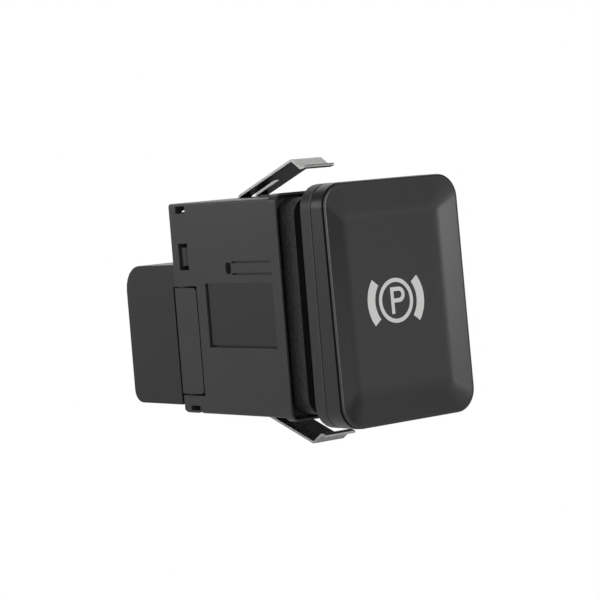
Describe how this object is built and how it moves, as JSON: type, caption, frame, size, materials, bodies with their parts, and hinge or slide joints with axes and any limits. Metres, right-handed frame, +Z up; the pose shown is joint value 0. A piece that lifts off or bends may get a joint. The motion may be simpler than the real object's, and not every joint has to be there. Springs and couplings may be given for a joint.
{
  "type": "electric parking brake switch",
  "caption": "Sprung push switch with a dished button, box housing, folded spring clips and a rear connector socket.",
  "frame": {"origin": "middle of the panel opening, on the rear face of the housing's flange, which meets the panel", "axes": "-Y is the way the button faces, +Y is into the panel along the press, +Z is up, +X is to the right seen from the front"},
  "size_m": [0.029, 0.0619, 0.0486],
  "materials": {
    "button_black": "satin moulded, painted",
    "housing_black": "moulded, fine texture",
    "opal_plastic": "translucent white",
    "clear_plastic": "clear, polished",
    "header_black": "moulded",
    "circuit_board": "solder resist",
    "red_lamp": "tinted clear",
    "spring_steel": "rolled strip, bare",
    "wire_steel": "drawn wire",
    "contact_metal": "tin plated"
  },
  "bodies": {
    "housing": {"housing": "housing_black", "rear_cover": "housing_black", "clip_top": "spring_steel", "clip_bottom": "spring_steel", "circuit_board": "circuit_board", "pin_header": "header_black", "terminal_1": "contact_metal", "terminal_2": "contact_metal", "terminal_3": "contact_metal", "terminal_4": "contact_metal", "terminal_5": "contact_metal", "terminal_6": "contact_metal", "terminal_7": "contact_metal", "terminal_8": "contact_metal", "terminal_9": "contact_metal", "terminal_10": "contact_metal", "microswitch_left": "header_black", "microswitch_right": "header_black", "led_white": "opal_plastic", "led_red": "red_lamp", "light_guide": "clear_plastic", "return_spring": "wire_steel"},
    "button": {"button_cap": "button_black", "button_carrier": "button_black", "symbol_diffuser": "opal_plastic"},
    "stem_left": {"switch_stem_left": "opal_plastic"},
    "stem_right": {"switch_stem_right": "opal_plastic"}
  },
  "joints": [
    {"name": "button_press", "type": "slide", "parent": "housing", "child": "button", "axis": [0, 1, 0], "range_m": [0, 0.0024], "stiffness_N_per_m": 900, "springref_m": -0.002, "deforming": ["return_spring"]},
    {"name": "stem_left_press", "type": "slide", "parent": "housing", "child": "stem_left", "axis": [0, 1, 0], "range_m": [0, 0.0024], "stiffness_N_per_m": 60},
    {"name": "stem_right_press", "type": "slide", "parent": "housing", "child": "stem_right", "axis": [0, 1, 0], "range_m": [0, 0.0024], "stiffness_N_per_m": 60}
  ],
  "couplings": [
    {"joint": "stem_left_press", "follows": "button_press", "ratio": 1},
    {"joint": "stem_right_press", "follows": "button_press", "ratio": 1}
  ]
}
